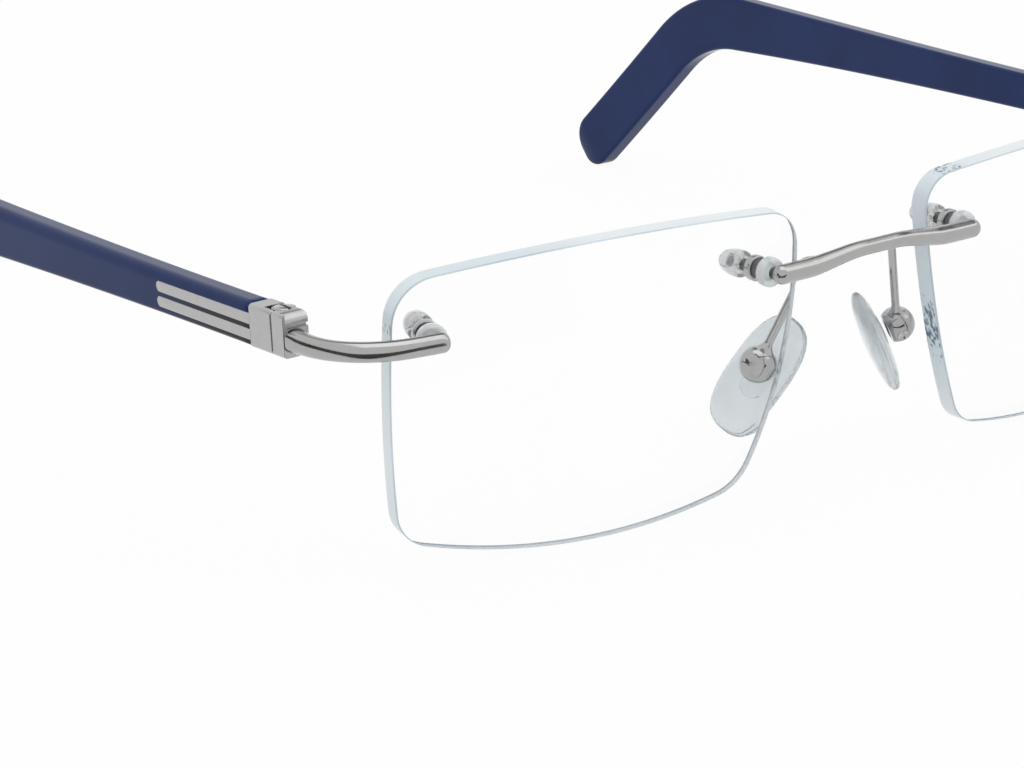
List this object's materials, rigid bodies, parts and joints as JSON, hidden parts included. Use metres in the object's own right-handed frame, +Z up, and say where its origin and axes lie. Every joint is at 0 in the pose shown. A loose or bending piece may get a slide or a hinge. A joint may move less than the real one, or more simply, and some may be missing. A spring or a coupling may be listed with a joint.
{
  "type": "rimless eyeglasses",
  "caption": "Rimless eyeglasses with drilled clear lenses, a thin wire bridge, rocking nose pads, bent wire end pieces and folding plastic temples with metal bars.",
  "frame": {"origin": "on the floor plane, in the middle of the footprint of the glasses standing with open temples", "axes": "+X towards the wearer's left, -Y the way the lenses face, +Y along the open temples, +Z up"},
  "size_m": [0.1482, 0.157, 0.0361],
  "materials": {
    "lens": "clear polished lens",
    "clear_plastic": "clear moulded",
    "pad_silicone": "clear soft silicone",
    "polished_metal": "polished silver",
    "steel": "turned",
    "temple_plastic": "glossy navy"
  },
  "bodies": {
    "front": {"right_lens": "lens", "left_lens": "lens", "bridge": "polished_metal", "right_nasal_bushing": "clear_plastic", "right_nasal_cap": "clear_plastic", "right_temporal_bushing": "clear_plastic", "right_temporal_cap": "clear_plastic", "left_nasal_bushing": "clear_plastic", "left_nasal_cap": "clear_plastic", "left_temporal_bushing": "clear_plastic", "left_temporal_cap": "clear_plastic", "right_nasal_nut": "polished_metal", "right_temporal_nut": "polished_metal", "left_nasal_nut": "polished_metal", "left_temporal_nut": "polished_metal", "right_end_piece": "polished_metal", "right_hinge_screw": "steel", "right_pad_arm": "polished_metal", "right_pad_screw": "steel", "left_end_piece": "polished_metal", "left_hinge_screw": "steel", "left_pad_arm": "polished_metal", "left_pad_screw": "steel"},
    "right_temple_arm": {"right_temple_hinge": "polished_metal", "right_temple": "temple_plastic", "right_core_wire": "steel"},
    "right_pad": {"right_pad_insert": "clear_plastic", "right_nose_pad": "pad_silicone"},
    "left_temple_arm": {"left_temple_hinge": "polished_metal", "left_temple": "temple_plastic", "left_core_wire": "steel"},
    "left_pad": {"left_pad_insert": "clear_plastic", "left_nose_pad": "pad_silicone"}
  },
  "joints": [
    {"name": "right_temple_fold", "type": "hinge", "parent": "front", "child": "right_temple_arm", "pos_m": [-0.06822, -0.05737, 0.02864], "axis": [0, 0, -1], "range_deg": [0, 92]},
    {"name": "left_temple_fold", "type": "hinge", "parent": "front", "child": "left_temple_arm", "pos_m": [0.06822, -0.05737, 0.02864], "axis": [0, 0, 1], "range_deg": [0, 80]},
    {"name": "right_pad_rock", "type": "hinge", "parent": "front", "child": "right_pad", "pos_m": [-0.01129, -0.06754, 0.01503], "axis": [-0.2341, 0.8564, 0.4603], "range_deg": [-10, 10]},
    {"name": "left_pad_rock", "type": "hinge", "parent": "front", "child": "left_pad", "pos_m": [0.01129, -0.06754, 0.01503], "axis": [0.2341, 0.8564, 0.4603], "range_deg": [-10, 10]}
  ]
}
